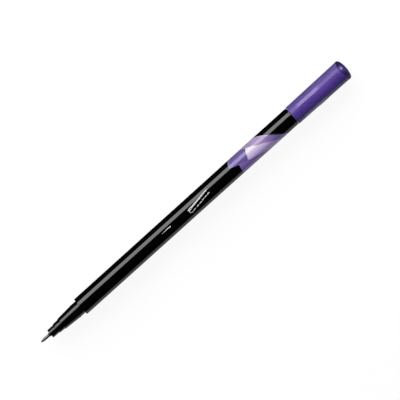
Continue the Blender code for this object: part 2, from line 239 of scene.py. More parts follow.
def rounded(profile, step=11.0, ring=False):
    """Profile points (station, radius, fillet) with each corner turned into an arc.

    A pair of points close to each arc's ends keeps the long straight runs
    truly straight when they are shaded smooth.
    """
    n = len(profile)
    out = []
    for i, (s, r, f) in enumerate(profile):
        if not ring and i in (0, n - 1) or f <= 0.0:
            out.append((s, r))
            continue
        p = Vector((s, r))
        a = Vector(profile[i - 1][:2]) - p
        b = Vector(profile[(i + 1) % n][:2]) - p
        la, lb = a.length, b.length
        a.normalize()
        b.normalize()
        between = acos(max(-1.0, min(1.0, a.dot(b))))
        if between > radians(177.0):
            out.append((s, r))
            continue
        cut = min(f / tan(between / 2.0), 0.49 * la, 0.49 * lb)
        f = cut * tan(between / 2.0)
        centre = p + (a + b).normalized() * (f / sin(between / 2.0))
        start, end = p + a * cut - centre, p + b * cut - centre
        turn = pi - between
        k = max(2, ceil(degrees(turn) / step))
        a0, a1 = atan2(start.y, start.x), atan2(end.y, end.x)
        d = (a1 - a0 + pi) % (2 * pi) - pi
        near = min(0.04, 0.3 * f)
        if la * 0.5 > cut + near:
            q = p + a * (cut + near)
            out.append((q.x, q.y))
        for j in range(k + 1):
            t = a0 + d * j / k
            out.append((centre.x + f * cos(t), centre.y + f * sin(t)))
        if lb * 0.5 > cut + near:
            q = p + b * (cut + near)
            out.append((q.x, q.y))
    clean = [out[0]]
    for q in out[1:]:
        if hypot(q[0] - clean[-1][0], q[1] - clean[-1][1]) > 1e-4:
            clean.append(q)
    return clean


def new_object(name, mesh):
    obj = bpy.data.objects.new(name, mesh)
    pieces.objects.link(obj)
    return obj


def lathe(name, profile, ring=False, segs=SEGS, step=11.0):
    """A fine turned piece about the pen's axis, with rounded corners."""
    points = rounded(profile, step, ring)
    bm = bmesh.new()
    rings = []
    for s, r in points:
        if r < 1e-6:
            rings.append([bm.verts.new((X(s), 0.0, AXIS_Z))])
        else:
            row = []
            for i in range(segs):
                a = 2.0 * pi * i / segs
                row.append(bm.verts.new((X(s), r * MM * sin(a), AXIS_Z + r * MM * cos(a))))
            rings.append(row)
    pairs = list(zip(rings, rings[1:])) + ([(rings[-1], rings[0])] if ring else [])
    for a, b in pairs:
        for i in range(segs):
            j = (i + 1) % segs
            if len(a) == 1 and len(b) == 1:
                continue
            if len(a) == 1:
                bm.faces.new((a[0], b[i], b[j]))
            elif len(b) == 1:
                bm.faces.new((a[i], b[0], a[j]))
            else:
                bm.faces.new((a[i], b[i], b[j], a[j]))
    bmesh.ops.recalc_face_normals(bm, faces=bm.faces)
    mesh = bpy.data.meshes.new(name)
    bm.to_mesh(mesh)
    bm.free()
    mesh.shade_smooth()
    mesh.set_sharp_from_angle(angle=radians(38.0))
    return new_object(name, mesh)


def loft(name, sections):
    """Skins closed rings of points (in row coordinates), with flat ends."""
    bm = bmesh.new()
    rows = [[bm.verts.new(p) for p in section] for section in sections]
    n = len(rows[0])
    for a, b in zip(rows, rows[1:]):
        for i in range(n):
            bm.faces.new((a[i], a[(i + 1) % n], b[(i + 1) % n], b[i]))
    bm.faces.new(rows[0])
    bm.faces.new(rows[-1])
    bmesh.ops.recalc_face_normals(bm, faces=bm.faces)
    mesh = bpy.data.meshes.new(name)
    bm.to_mesh(mesh)
    bm.free()
    mesh.shade_smooth()
    mesh.set_sharp_from_angle(angle=radians(50.0))
    return new_object(name, mesh)


def barrel_radius(s):
    return 3.93 + 0.12 * max(0.0, min(1.0, (s - 21.3) / (134.2 - 21.3)))


def decal(name, outline, lift, holes=(), body="pen", depth=0.016, step=2.5):
    """Printed ink on the barrel: a thin closed skin over an outline of (station, angle) points."""
    scale = 0.07  # mm per degree, only to keep the flat work about square
    bm = bmesh.new()
    edges = []
    for loop in (outline, *holes):
        verts = [bm.verts.new((s, a * scale, 0.0)) for s, a in loop]
        edges += [bm.edges.new((a, b)) for a, b in zip(verts, verts[1:] + verts[:1])]
    bmesh.ops.triangle_fill(bm, use_beauty=True, use_dissolve=False, edges=edges, normal=(0, 0, 1))
    low = min(a for _, a in outline)
    high = max(a for _, a in outline)
    k = ceil(low / step)
    while k * step < high:
        bmesh.ops.bisect_plane(
            bm,
            geom=bm.verts[:] + bm.edges[:] + bm.faces[:],
            plane_co=(0.0, k * step * scale, 0.0),
            plane_no=(0.0, 1.0, 0.0),
            dist=1e-6,
        )
        k += 1
    for f in bm.faces:
        f.normal_update()
        if f.normal.z < 0.0:
            f.normal_flip()
    faces = bm.faces[:]
    border = [e for e in bm.edges if len(e.link_faces) == 1]
    flat = {v: (v.co.x, v.co.y / scale) for f in faces for v in f.verts}
    under = {v: bm.verts.new(v.co) for v in flat}
    for f in faces:
        bm.faces.new([under[v] for v in reversed(f.verts)])
    for e in border:
        loop = e.link_loops[0]
        a, b = loop.vert, loop.link_loop_next.vert
        bm.faces.new((b, a, under[a], under[b]))
    for v, (s, a) in flat.items():
        for vert, r in ((v, barrel_radius(s) + lift), (under[v], barrel_radius(s) + lift - depth)):
            p = ring_point(r, a)
            vert.co = (X(s), p.y, p.z)
    bmesh.ops.delete(bm, geom=[v for v in bm.verts if not v.link_faces], context="VERTS")
    bmesh.ops.recalc_face_normals(bm, faces=bm.faces)
    mesh = bpy.data.meshes.new(name)
    bm.to_mesh(mesh)
    bm.free()
    mesh.shade_smooth()
    mesh.set_sharp_from_angle(angle=radians(40.0))
    obj = new_object(name, mesh)
    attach(obj, body)
    return obj


def apply_modifiers(obj):
    bpy.context.view_layer.update()
    mesh = bpy.data.meshes.new_from_object(obj.evaluated_get(bpy.context.evaluated_depsgraph_get()))
    obj.modifiers.clear()
    obj.data = mesh
    return obj


def dress(obj, material):
    obj.data.materials.clear()
    obj.data.materials.append(material)
    return obj


# =================================================================== materials
def gloss_black(name, tone, rough, grain):
    """Moulded black plastic: a skin with very fine ripple, handling scratches and a little dust haze."""
    n = Nodes(name)
    ripple = n.noise(650.0, 2.0, 0.5)
    fine = n.noise(5200.0, 3.0, 0.6)
    scratch = n.noise(1500.0, 4.0, 0.7, vector=n.stretched(0.06, 1.0, 1.0))
    haze = n.noise(120.0, 4.0, 0.6)
    scratches = n.ramp(scratch, [(0.0, 0.0), (0.60, 0.0), (0.68, 1.0), (1.0, 1.0)])
    r = n.remap(haze, 0.3, 0.7, rough * 0.85, rough * 1.25)
    r = n.math("MULTIPLY_ADD", scratches, rough * 0.5, r)
    dark = tuple(c * 0.75 for c in tone)
    light = tuple(c * 1.35 for c in tone)
    colour = n.mix(n.remap(haze, 0.3, 0.7, 0.0, 1.0), dark, light)
    normal = n.bump(ripple, 0.0000015 * grain)
    normal = n.bump(fine, 0.0000005 * grain, normal=normal)
    n.set(color=colour, rough=r, ior=1.50, normal=normal)
    return n.mat


barrel_black = gloss_black("barrel_black", (0.0011, 0.0011, 0.0013), 0.062, 1.0)
nose_black = gloss_black("nose_black", (0.0016, 0.0016, 0.0018), 0.11, 2.0)


def steel():
    n = Nodes("sheath_steel")
    rings = n.noise(2600.0, 3.0, 0.6, vector=n.stretched(1.0, 0.05, 0.05))
    patches = n.noise(900.0, 3.0, 0.5)
    colour = n.mix(n.remap(patches, 0.3, 0.7, 0.0, 1.0), (0.10, 0.10, 0.105), (0.15, 0.15, 0.155))
    n.set(
        color=colour,
        metal=1.0,
        rough=n.remap(rings, 0.3, 0.7, 0.12, 0.20),
        normal=n.bump(rings, 0.000003),
    )
    return n.mat


def fibre():
    n = Nodes("nib_fibre")
    strands = n.noise(5200.0, 4.0, 0.7, vector=n.stretched(0.25, 1.0, 1.0))
    ink = n.noise(2400.0, 3.0, 0.6)
    colour = n.mix(n.remap(ink, 0.35, 0.7, 0.0, 1.0), (0.006, 0.005, 0.007), (0.028, 0.024, 0.034))
    n.set(color=colour, rough=n.remap(strands, 0.2, 0.8, 0.55, 0.95), normal=n.bump(strands, 0.00002))
    return n.mat


def ink_rod():
    n = Nodes("reservoir_fibre")
    strands = n.noise(2600.0, 5.0, 0.7, vector=n.stretched(0.04, 1.0, 1.0))
    colour = n.mix(n.remap(strands, 0.25, 0.75, 0.0, 1.0), (0.06, 0.03, 0.19), (0.16, 0.09, 0.40))
    n.set(color=colour, rough=0.9, normal=n.bump(strands, 0.00005))
    return n.mat


def film():
    n = Nodes("reservoir_film")
    crinkle = n.noise(700.0, 4.0, 0.6)
    n.set(
        color=n.mix(n.remap(crinkle, 0.3, 0.7, 0.0, 1.0), (0.55, 0.53, 0.60), (0.80, 0.80, 0.84)),
        rough=n.remap(crinkle, 0.3, 0.7, 0.12, 0.30),
        normal=n.bump(crinkle, 0.00004),
    )
    return n.mat


def purple(name, tone, rough, sss=0.15, sheen=0.5, spec=0.5, coat=None):
    """Dyed translucent plastic: cloudy pigment, flow streaks from the gate, light carried inside."""
    n = Nodes(name)
    cloud = n.noise(170.0, 4.0, 0.55)
    flow = n.noise(420.0, 4.0, 0.6, vector=n.stretched(0.22, 1.0, 1.0), distortion=0.5)
    skin = n.noise(5200.0, 3.0, 0.6)
    mixed = n.math("ADD", n.math("MULTIPLY", cloud, 0.55), n.math("MULTIPLY", flow, 0.45))
    density = n.remap(mixed, 0.36, 0.64, 0.70, 1.0)
    n.set(
        color=n.mix(1.0, tone(n), density, blend="MULTIPLY"),
        rough=n.remap(flow, 0.3, 0.7, rough * 0.85, rough * 1.2),
        ior=1.49,
        spec=spec,
        sss=sss,
        sss_scale=0.0012,
        sss_radius=(0.6, 0.35, 1.0),
        sheen=sheen,
        sheen_rough=0.35,
        sheen_tint=(0.85, 0.80, 0.92),
        normal=n.bump(skin, 0.0000008, normal=n.bump(flow, 0.000002)),
    )
    if coat:
        n.set(coat=coat(n), coat_rough=0.12, coat_ior=1.5)
    return n.mat


def plain(colour):
    return lambda n: n.mix(0.0, colour, colour)


def cap_painted_shading(n):
    """Painted light and shade round the sleeve: lighter and greyer on its upper side towards the key softbox,
    darker at its very top edge, and darker towards its lower side.
    """
    return n.over(
        n.across(),
        [
            (-4.3, (0.062, 0.041, 0.150)),
            (-3.9, (0.092, 0.061, 0.215)),
            (-3.4, (0.112, 0.074, 0.272)),
            (-3.0, (0.120, 0.078, 0.298)),
            (-2.4, (0.120, 0.070, 0.325)),
            (-1.7, (0.114, 0.055, 0.345)),
            (-0.5, (0.114, 0.057, 0.337)),
            (0.1, (0.112, 0.058, 0.348)),
            (0.8, (0.093, 0.047, 0.335)),
            (1.6, (0.091, 0.0438, 0.315)),
            (2.4, (0.084, 0.041, 0.272)),
            (3.0, (0.070, 0.033, 0.248)),
            (4.3, (0.070, 0.034, 0.240)),
        ],
    )


def over_spigot(n):
    """A tighter gloss where the sleeve is stretched over the spigot inside it."""
    cloud = n.remap(n.noise(600.0, 3.0, 0.6), 0.3, 0.7, -0.6, 0.6)
    s = n.math("ADD", n.along(), cloud)
    return n.math(
        "MULTIPLY",
        n.remap(s, 138.3, 139.6, 0.0, 0.55, smooth=True),
        n.remap(s, 149.2, 150.9, 1.0, 0.0, smooth=True),
    )


def crown_painted_light(n):
    """Nearly black violet with painted light: painted shade on the upper side, lighter from the middle down, and
    a painted highlight spot on the locating key.
    """
    # painted shade and light by side: dark on the upper side, lighter from the middle down
    side_painted_shading = n.over(
        n.across(),
        [
            (-4.3, (0.016, 0.009, 0.068)),
            (-2.6, (0.018, 0.010, 0.075)),
            (-1.4, (0.034, 0.018, 0.125)),
            (0.5, (0.056, 0.030, 0.190)),
            (1.3, (0.045, 0.023, 0.135)),
            (2.6, (0.046, 0.025, 0.165)),
            (3.4, (0.056, 0.035, 0.210)),
        ],
    )
    p = ring_point(4.49, -12.6)
    d = n.distance((X(162.2), p.y, p.z))
    # painted highlight: a bright violet spot on the locating key, fading out by about 1.4 mm
    glow = n.over(
        d,
        [
            (0.0, (0.310, 0.230, 0.650)),
            (0.32, (0.270, 0.195, 0.600)),
            (0.68, (0.090, 0.055, 0.290)),
            (1.05, (0.054, 0.031, 0.190)),
            (1.6, (0.050, 0.028, 0.160)),
        ],
    )
    return n.mix(n.remap(d, 0.7, 1.4, 1.0, 0.0, smooth=True), side_painted_shading, glow)


# the sleeve's and the crown's colours carry painted light and shade
cap_purple = purple("cap_purple", cap_painted_shading, 0.24, spec=0.26, coat=over_spigot)
crown_purple = purple("crown_purple", crown_painted_light, 0.34, sheen=0.05, spec=0.16)
clip_purple = purple("clip_purple", plain((0.080, 0.040, 0.260)), 0.24)
liner_natural = purple("liner_natural", plain((0.55, 0.49, 0.72)), 0.35)


def print_ink(name, recipe, rough=0.10):
    """Gloss screen-print ink. recipe takes the nodes and gives the colour."""
    n = Nodes(name)
    grain = n.noise(2600.0, 3.0, 0.6)
    colour = recipe(n)
    colour = n.mix(n.remap(grain, 0.3, 0.7, 0.0, 0.16), colour, (0.9, 0.88, 0.95), blend="MULTIPLY")
    n.set(
        color=colour,
        rough=n.remap(grain, 0.3, 0.7, rough * 0.9, rough * 1.3),
        ior=1.50,
        normal=n.bump(grain, 0.0000008),
    )
    return n.mat


# ================================================================ writing end
nib = lathe(
    "writing_fibre",
    [
        (36.2, 0.0, 0.0),
        (36.2, 0.22, 0.0),
        (35.6, 0.40, 0.2),
        (0.34, 0.40, 0.30),
        (0.0, 0.16, 0.10),
        (0.0, 0.0, 0.0),
    ],
    segs=48,
)
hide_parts("fibre_nib")
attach(nib, "pen")
dress(nib, fibre())

sheath = lathe(
    "steel_sheath",
    [
        (10.0, 0.46, 0.0),
        (10.0, 0.61, 0.05),
        (1.62, 0.61, 0.6),
        (1.02, 0.515, 0.25),
        (0.90, 0.475, 0.035),
        (0.90, 0.425, 0.02),
        (1.55, 0.435, 0.1),
    ],
    ring=True,
    segs=72,
)
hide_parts("nib_sheath")
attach(sheath, "pen")
dress(sheath, steel())

holder = lathe(
    "stepped_nose",
    [
        (29.9, 2.35, 0.1),
        (29.9, 2.92, 0.1),
        (29.65, 3.06, 0.1),
        (21.1, 3.06, 0.0),
        (20.85, 3.04, 0.05),
        (18.86, 3.04, 0.10),
        (18.60, 3.10, 0.14),
        (18.28, 3.10, 0.14),
        (17.95, 3.03, 0.3),
        (11.15, 2.60, 0.25),
        (10.50, 2.30, 0.18),
        (8.42, 2.235, 0.25),
        (7.72, 1.94, 0.25),
        (4.85, 1.94, 0.14),
        (4.85, 0.88, 0.08),
        (4.00, 0.70, 0.03),
        (4.00, 0.65, 0.0),
        (10.1, 0.65, 0.0),
        (10.1, 0.45, 0.0),
        (24.0, 0.45, 0.0),
        (25.0, 2.20, 0.1),
    ],
    ring=True,
)
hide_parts("nib_holder")
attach(holder, "pen")
dress(holder, nose_black)

# ====================================================================== barrel
tube = lathe(
    "barrel_tube",
    [
        (134.3, 3.12, 0.0),
        (134.3, 4.05, 0.06),
        (77.7, 3.99, 0.0),
        (21.1, 3.93, 0.14),
        (21.1, 3.12, 0.05),
        (30.0, 3.12, 0.0),
        (30.0, 2.98, 0.0),
        (128.1, 2.98, 0.0),
        (128.1, 3.12, 0.0),
    ],
    ring=True,
    segs=180,
)
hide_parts("barrel")
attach(tube, "pen")
dress(tube, barrel_black)

plug = lathe(
    "tail_spigot",
    [
        (149.8, 0.0, 0.0),
        (149.8, 2.55, 0.15),
        (149.55, 2.95, 0.25),
        (149.0, 3.10, 0.5),
        (135.05, 3.10, 0.06),
        (135.05, 4.05, 0.06),
        (134.4, 4.05, 0.06),
        (134.4, 3.06, 0.0),
        (128.6, 3.06, 0.1),
        (128.2, 2.82, 0.1),
        (128.2, 2.25, 0.1),
        (148.2, 2.10, 0.0),
        (148.6, 1.60, 0.0),
        (148.6, 0.0, 0.0),
    ],
)
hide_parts("tail_plug")
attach(plug, "pen")
dress(plug, nose_black)

for node, material, slot in (
    ("reservoir_core", ink_rod(), "reservoir_fibre"),
    ("reservoir_wrap", film(), "reservoir_film"),
):
    dress(frame["nodes"][node], material)

# ========================================================================= cap
shell = lathe(
    "cap_sleeve",
    [
        (161.72, 3.32, 0.05),
        (161.72, 4.44, 0.08),
        (135.2, 4.22, 0.16),
        (135.2, 3.45, 0.08),
        (135.5, 3.17, 0.10),
        (138.6, 3.17, 0.10),
        (138.9, 3.32, 0.10),
    ],
    ring=True,
    segs=160,
)


def key_depth(p):
    """How far forward (mm) the crown's locating key reaches at a point's place round the cap."""
    toward = p.y * sin(CAMERA_ROLL) + (p.z - AXIS_Z) * cos(CAMERA_ROLL)
    side = -p.y * cos(CAMERA_ROLL) + (p.z - AXIS_Z) * sin(CAMERA_ROLL)
    off = abs(degrees(atan2(side, toward)) + 13.0)
    f = max(0.0, min(1.0, (52.0 - off) / 40.0))
    return 0.62 * f * f * (3.0 - 2.0 * f)


for v in shell.data.vertices:
    s_v = (v.co.x - X_TIP) / MM
    if s_v > 161.35:
        v.co.x -= key_depth(v.co) * MM
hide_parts("cap_shell")
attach(shell, "cap")
dress(shell, cap_purple)


def axial_bars(name, count, radius_at, radius, s0, s1, phase):
    """Cutters parallel to the pen's axis. They are removed once used."""
    bm = bmesh.new()
    for i in range(count):
        a = phase + 2.0 * pi * i / count
        made = bmesh.ops.create_cone(
            bm,
            cap_ends=True,
            segments=40,
            radius1=radius * MM,
            radius2=radius * MM,
            depth=(s1 - s0) * MM,
            matrix=Matrix.Translation(
                (X((s0 + s1) / 2.0), radius_at * MM * sin(a), AXIS_Z - radius_at * MM * cos(a))
            )
            @ Matrix.Rotation(pi / 2.0, 4, "Y"),
        )
        del made
    mesh = bpy.data.meshes.new(name)
    bm.to_mesh(mesh)
    bm.free()
    obj = bpy.data.objects.new(name, mesh)
    scene.collection.objects.link(obj)
    return obj


def cut(obj, cutter, round_edges=0.0):
    mod = obj.modifiers.new("cut", "BOOLEAN")
    mod.operation = "DIFFERENCE"
    mod.object = cutter
    mod.solver = "EXACT"
    apply_modifiers(obj)
    bpy.data.objects.remove(cutter, do_unlink=True)
    obj.data.shade_smooth()
    obj.data.set_sharp_from_angle(angle=radians(38.0))
    return obj


liner = lathe(
    "seal_liner",
    [
        (158.4, 0.0, 0.0),
        (158.4, 2.96, 0.1),
        (158.1, 3.26, 0.1),
        (150.3, 3.26, 0.1),
        (150.1, 3.06, 0.1),
        (150.1, 2.35, 0.1),
        (150.55, 2.00, 0.1),
        (152.6, 2.00, 0.1),
        (153.0, 1.70, 0.1),
        (157.4, 1.70, 0.0),
        (157.6, 1.40, 0.0),
        (157.6, 0.0, 0.0),
    ],
    segs=96,
)
cut(liner, axial_bars("liner_cutter", 3, 3.57, 0.7, 149.0, 159.4, radians(20.0)))
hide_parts("cap_liner")
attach(liner, "cap")
dress(liner, liner_natural)

crown = lathe(
    "cap_end",
    [
        (164.10, 0.0, 0.0),
        (164.05, 1.20, 1.5),
        (163.93, 2.00, 1.5),
        (163.78, 2.85, 1.5),
        (163.53, 3.60, 1.2),
        (163.19, 4.16, 0.8),
        (162.77, 4.43, 0.7),
        (162.35, 4.49, 0.5),
        (161.78, 4.48, 0.08),
        (161.78, 3.26, 0.0),
        (158.9, 3.26, 0.1),
        (158.6, 3.02, 0.1),
        (158.6, 2.45, 0.1),
        (162.4, 2.45, 0.1),
        (162.65, 2.20, 0.1),
        (162.65, 0.0, 0.0),
    ],
    segs=160,
    step=6.0,
)
for v in crown.data.vertices:
    s_v = (v.co.x - X_TIP) / MM
    if s_v < 161.98 and hypot(v.co.y, v.co.z - AXIS_Z) > 3.9 * MM:
        v.co.x -= key_depth(v.co) * MM
cut(crown, axial_bars("vent_cutter", 3, 1.45, 0.45, 160.9, 165.1, radians(20.0)))
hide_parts("cap_crown")
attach(crown, "cap")
dress(crown, crown_purple)

# ---- the clip: one moulding from the crown to its pad, shaped about the hinge axis at its root
clip_joint = next(j for j in frame["joints"] if j["name"] == "clip_flex")
hinge_axis = Vector(clip_joint["axis"])
clip_out = Vector((1.0, 0.0, 0.0)).cross(hinge_axis)  # straight out from the pen through the clip
clip_side = hinge_axis


def curve(points):
    """Smooth interpolation (monotone cubic) through (station, value) points."""
    xs = [p[0] for p in points]
    ys = [p[1] for p in points]
    d = [(ys[i + 1] - ys[i]) / (xs[i + 1] - xs[i]) for i in range(len(xs) - 1)]
    m = [d[0]] + [0.0 if a * b <= 0 else 2 * a * b / (a + b) for a, b in zip(d, d[1:])] + [d[-1]]

    def at(x):
        if x <= xs[0]:
            return ys[0]
        if x >= xs[-1]:
            return ys[-1]
        i = max(j for j in range(len(xs) - 1) if xs[j] <= x)
        h = xs[i + 1] - xs[i]
        t = (x - xs[i]) / h
        return (
            ys[i] * (2 * t**3 - 3 * t**2 + 1)
            + m[i] * h * (t**3 - 2 * t**2 + t)
            + ys[i + 1] * (3 * t**2 - 2 * t**3)
            + m[i + 1] * h * (t**3 - t**2)
        )

    return at


clip_top = curve(
    [
        (145.30, 5.36),
        (145.38, 5.62),
        (145.60, 5.86),
        (146.00, 6.02),
        (146.60, 6.09),
        (148.0, 6.10),
        (160.9, 6.10),
        (161.6, 6.00),
        (162.2, 5.72),
        (162.7, 5.22),
        (163.0, 4.66),
        (163.2, 4.00),
    ]
)
clip_under = curve(
    [
        (145.30, 5.28),
        (145.38, 5.12),
        (145.60, 5.00),
        (146.10, 4.83),
        (146.90, 4.66),
        (147.60, 4.62),
        (148.40, 4.66),
        (149.60, 4.88),
        (150.80, 5.03),
        (152.0, 5.05),
        (158.6, 5.05),
        (160.0, 5.01),
        (160.8, 4.86),
        (161.25, 4.62),
        (161.42, 4.25),
        (161.50, 3.60),
        (163.2, 3.40),
    ]
)
clip_half = curve(
    [
        (145.30, 0.62),
        (145.38, 0.92),
        (145.60, 1.16),
        (146.00, 1.34),
        (146.60, 1.44),
        (147.4, 1.45),
        (150.2, 1.44),
        (152.6, 1.22),
        (154.0, 1.20),
        (159.5, 1.20),
        (161.2, 1.27),
        (163.2, 1.52),
    ]
)


def clip_section(s):
    top, under, half = clip_top(s), clip_under(s), clip_half(s)
    mid, thick = (top + under) / 2.0, (top - under) / 2.0
    r = min(0.30, thick * 0.8, half * 0.8)
    ring = []
    for cx, cy, a0 in ((1, 1, 0), (-1, 1, 90), (-1, -1, 180), (1, -1, 270)):
        for j in range(7):
            a = radians(a0 + 15.0 * j)
            w = cx * (half - r) + r * cos(a)
            h = mid + cy * (thick - r) + r * sin(a)
            # the outer face is very slightly crowned across its width
            if cy > 0:
                h -= 0.05 * (w / half) ** 2
            ring.append(
                Vector((X(s), 0.0, AXIS_Z)) + clip_out * (h * MM) + clip_side * (w * MM)
            )
    return ring


stations = (
    [145.30, 145.33, 145.38, 145.46, 145.56, 145.70, 145.86, 146.04, 146.25, 146.5, 146.8]
    + [147.1 + 0.25 * i for i in range(24)]
    + [153.3 + 0.5 * i for i in range(14)]
    + [160.2, 160.5, 160.75, 161.0, 161.15, 161.27, 161.36, 161.44, 161.52, 161.7, 161.9]
    + [162.1, 162.3, 162.5, 162.7, 162.85, 163.0, 163.1, 163.2]
)
clip = loft("pocket_clip", [clip_section(s) for s in stations])
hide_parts("cap_clip")
dress(clip, clip_purple)
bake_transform(clip)

# ================================================================ printed band
# Flat facets of ink laid over each other, darkest first. Each outline is
# (station, angle) and wraps round the barrel.
T0 = 87.12  # station of the print's reference line


def P(t, a):
    return (T0 + 0.4 * t, a)


def laid_down(colour):
    """Ink is brighter over its white undercoat than its own tone."""
    return tuple(min(0.9, c * g) for c, g in zip(colour, (1.10, 1.09, 1.12)))


def even(colour):
    return lambda n: n.mix(0.0, laid_down(colour), laid_down(colour))


def along_pen(a, b, t0, t1):
    """Colour running from a to b along the pen."""
    a, b = laid_down(a), laid_down(b)
    return lambda n: n.mix(n.remap(n.along(), T0 + 0.4 * t0, T0 + 0.4 * t1, 0.0, 1.0), a, b)


def round_pen(stops):
    """Colour running round the pen, by the distance in mm across it."""
    low, high = stops[0][0], stops[-1][0]
    return lambda n: n.ramp(
        n.remap(n.across(), low, high, 0.0, 1.0),
        [((x - low) / (high - low), laid_down(colour)) for x, colour in stops],
    )


DUSK = (0.110, 0.070, 0.225)
HAZE = (0.245, 0.205, 0.300)
IRIS = (0.200, 0.125, 0.410)
DEEP = (0.170, 0.120, 0.340)

# the print's front edge, down the side that faces the camera
TONGUE = [P(42.2, -75), P(40.9, -60), P(37.3, -21.5), P(38.2, -16.5), P(40.0, -11.6), P(42.6, -5.7), P(45.2, 0)]
LEFT = TONGUE + [P(47.4, 3.2), P(47.6, 10), P(47.1, 17), P(46.7, 25), P(46.4, 45), P(45.8, 75)]

band = [
    (
        "print_mauve",
        LEFT
        + [P(50, 100), P(57, 140), P(52, 190), P(45, 235), P(42.2, 285), P(75.8, 285), P(86, 228)]
        + [P(101, 160), P(111.7, 100), P(106.6, 75), P(100.6, 46), P(89.15, -10), P(83.85, -36), P(75.8, -75)],
        round_pen(
            [
                (-3.7, (0.300, 0.225, 0.370)),
                (-1.4, (0.275, 0.190, 0.345)),
                (0.0, (0.235, 0.175, 0.350)),
                (1.2, (0.215, 0.150, 0.375)),
                (2.8, (0.190, 0.140, 0.370)),
            ]
        ),
    ),
    (
        "print_dusk",
        TONGUE
        + [P(47.4, 1.5), P(57.5, 19.5), P(59.6, -6), P(61.2, -28)]
        + [P(63.2, -47), P(61.6, -51), P(57.5, -75)],
        # the ink's own tone, painted lighter and bluer from -2.1 to -1.0 mm across where the key's highlight
        # crosses it: partly a painted highlight
        round_pen(
            [
                (-3.7, (0.108, 0.086, 0.185)),
                (-2.7, (0.102, 0.077, 0.195)),
                (-2.1, (0.130, 0.088, 0.285)),
                (-1.0, (0.134, 0.088, 0.290)),
                (-0.6, (0.118, 0.070, 0.250)),
                (0.6, (0.125, 0.080, 0.245)),
            ]
        ),
    ),
    (
        "print_haze",
        [P(57.5, -75), P(61.6, -51), P(63.2, -47), P(66.3, -36), P(69.9, -27), P(68.2, -75)],
        even(HAZE),
    ),
    (
        "print_iris",
        [P(47.4, 1.5), P(57.5, 19.5), P(59.0, 22.5), P(63.2, 28.5), P(68.4, 36), P(72.6, 44), P(76.4, 52.5)]
        + [P(84, 75), P(70, 110), P(54, 122), P(50, 100)]
        + LEFT[:6:-1],
        along_pen(IRIS, DEEP, 56.0, 76.0),
    ),
    (
        "print_white",
        [P(63.2, -47), P(61.2, -28), P(59.6, -6), P(57.5, 19.5), P(59.0, 22.5), P(63.2, 28.5), P(68.4, 36)]
        + [P(72.6, 44), P(76.4, 52.5), P(84, 75), P(100, 75), P(95, 56), P(91.6, 44), P(87.4, 29)]
        + [P(80.6, 6), P(74.3, -9), P(69.9, -27), P(66.3, -36)],
        round_pen(
            [
                (-3.0, (0.560, 0.510, 0.580)),
                (-0.7, (0.560, 0.495, 0.600)),
                (0.8, (0.515, 0.430, 0.650)),
                (1.8, (0.480, 0.380, 0.680)),
                (2.6, (0.380, 0.300, 0.590)),
                (3.9, (0.320, 0.240, 0.520)),
            ]
        ),
    ),
    ("print_violet", [P(82.4, -8.5), P(88.6, -10.5), P(97.6, 33), P(92.6, 36.5)], even((0.195, 0.135, 0.370))),
    ("print_plum", [P(84, 75), P(100, 75), P(109, 100), P(92, 150), P(70, 110)], even((0.260, 0.185, 0.450))),
    (
        "print_night",
        [P(54, 122), P(70, 110), P(92, 150), P(84, 205), P(62, 196), P(53.2, 178), P(57, 140)],
        along_pen((0.150, 0.095, 0.310), (0.105, 0.065, 0.230), 54.0, 90.0),
    ),
    (
        "print_dusk_back",
        [P(42.2, 285), P(57.5, 285), P(66, 240), P(62, 196), P(53.2, 178), P(52, 190), P(45, 235)],
        along_pen(DUSK, (0.170, 0.110, 0.330), 46.0, 62.0),
    ),
    (
        "print_haze_back",
        [P(57.5, 285), P(68.2, 285), P(74, 248), P(84, 205), P(62, 196), P(66, 240)],
        even(HAZE),
    ),
    (
        "print_edge",
        [P(74.8, -75), P(82.75, -36.5), P(87.95, -10.5), P(89.15, -10), P(83.85, -36), P(75.8, -75)],
        even((0.400, 0.365, 0.440)),
    ),
    (
        "print_edge_low",
        [P(87.95, -10.5), P(99.4, 46.5), P(100.6, 46), P(89.15, -10)],
        even((0.250, 0.210, 0.340)),
    ),
    (
        "print_fade",
        [P(89.15, -10), P(100.6, 46), P(106.6, 75), P(108.0, 75), P(102.0, 46), P(90.6, -10), P(86.5, -28)],
        even((0.040, 0.032, 0.070)),
    ),
    (
        "print_edge_left",
        [P(42.2, -75), P(40.9, -60), P(37.3, -21.5), P(38.7, -21.5), P(42.2, -60), P(43.4, -75)],
        even((0.190, 0.160, 0.270)),
    ),
]
for name, outline, recipe in band:
    height = 0.010 if name == "print_mauve" else 0.0135
    if name.startswith("print_edge") or name == "print_violet":
        height = 0.017
    dress(decal(name, outline, height), print_ink(name, recipe))


# ------------------------------------------------- white mark and tip-width bar
def at(t, k):
    """A printed point from its place along and across the camera's side, in 0.4 mm steps."""
    s = T0 + 0.4 * t
    return (s, degrees(asin(max(-1.0, min(1.0, 0.4 * k / barrel_radius(s))))))


def ribbon(points, widths):
    """An outline round a line of (t, k) points, with a width at each and rounded ends."""
    count = len(points)
    tangents = [
        (Vector(points[min(count - 1, i + 1)]) - Vector(points[max(0, i - 1)])).normalized()
        for i in range(count)
    ]
    left, right_side = [], []
    for (t, k), d, w in zip(points, tangents, widths):
        left.append((t - d.y * w / 2.0, k + d.x * w / 2.0))
        right_side.append((t + d.y * w / 2.0, k - d.x * w / 2.0))

    def rounded_end(i, direction):
        """From the side on direction's left to the one on its right, in front of the point."""
        t, k = points[i]
        r = widths[i] / 2.0
        n = Vector((-direction.y, direction.x))
        made = []
        for step in range(1, 6):
            a = pi * step / 6.0
            q = n * (r * cos(a)) + direction * (r * sin(a))
            made.append((t + q.x, k + q.y))
        return made

    outline = left + rounded_end(-1, tangents[-1]) + right_side[::-1] + rounded_end(0, -tangents[0])
    return [at(t, k) for t, k in outline]


